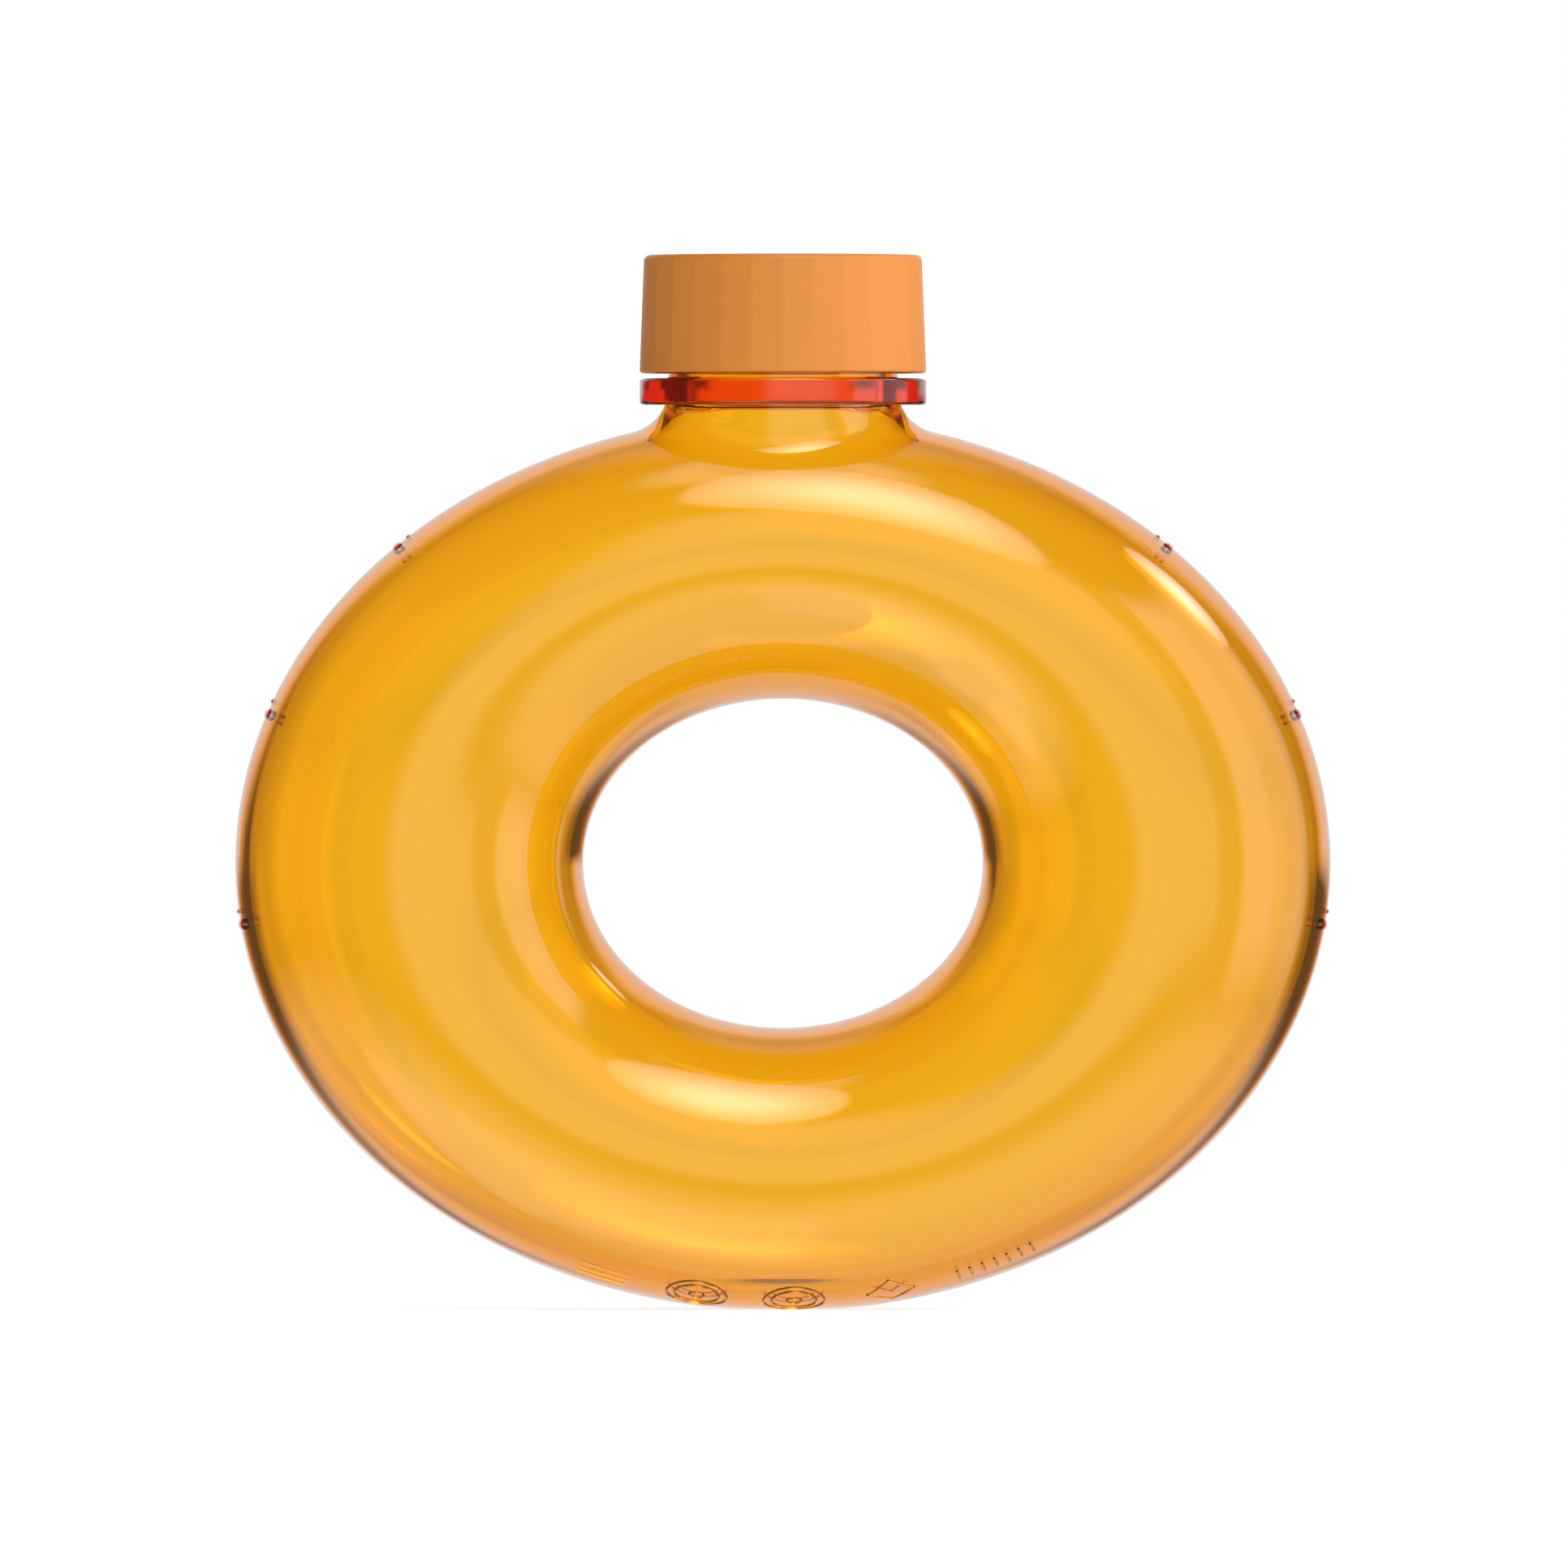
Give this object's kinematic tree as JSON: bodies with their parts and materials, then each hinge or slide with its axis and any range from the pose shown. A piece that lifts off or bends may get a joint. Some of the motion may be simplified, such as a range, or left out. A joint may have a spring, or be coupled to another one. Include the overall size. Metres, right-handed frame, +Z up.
{
  "type": "detergent bottle",
  "caption": "Upright oval ring bottle in clear amber plastic with a hand hole, a round threaded neck with a ring, a pour spout and a faceted orange screw cap.",
  "frame": {"origin": "centre of the flat foot, on the surface that the bottle stands on", "axes": "+Z up along the axis of the neck and cap, X across the ring's width, Y through the hand hole; the front is -Y and the spout's lip is towards +X"},
  "size_m": [0.2024, 0.0644, 0.1947],
  "materials": {
    "amber_plastic": "clear amber-tinted polyester, blow-moulded, glossy; the thick neck ring looks red",
    "spout_plastic": "orange polyethylene, satin",
    "cap_plastic": "orange polypropylene, fine matte",
    "cup_plastic": "orange polypropylene, smooth",
    "liner_foam": "white polyethylene foam"
  },
  "bodies": {
    "bottle": {"bottle_shell": "amber_plastic", "pour_spout": "spout_plastic"},
    "liner": {"cap_liner": "liner_foam"},
    "cap": {"cap_shell": "cap_plastic", "dosing_cup": "cup_plastic"}
  },
  "joints": [
    {"name": "cap_lift", "type": "slide", "parent": "bottle", "child": "liner", "axis": [0, 0, 1], "range_m": [0, 0.0251]},
    {"name": "cap_turn", "type": "hinge", "parent": "liner", "child": "cap", "pos_m": [0, 0, 0.18], "axis": [0, 0, 1], "range_deg": [0, 900]}
  ],
  "couplings": [
    {"joint": "cap_lift", "follows": "cap_turn", "m_per_rad": 0.0015915}
  ]
}
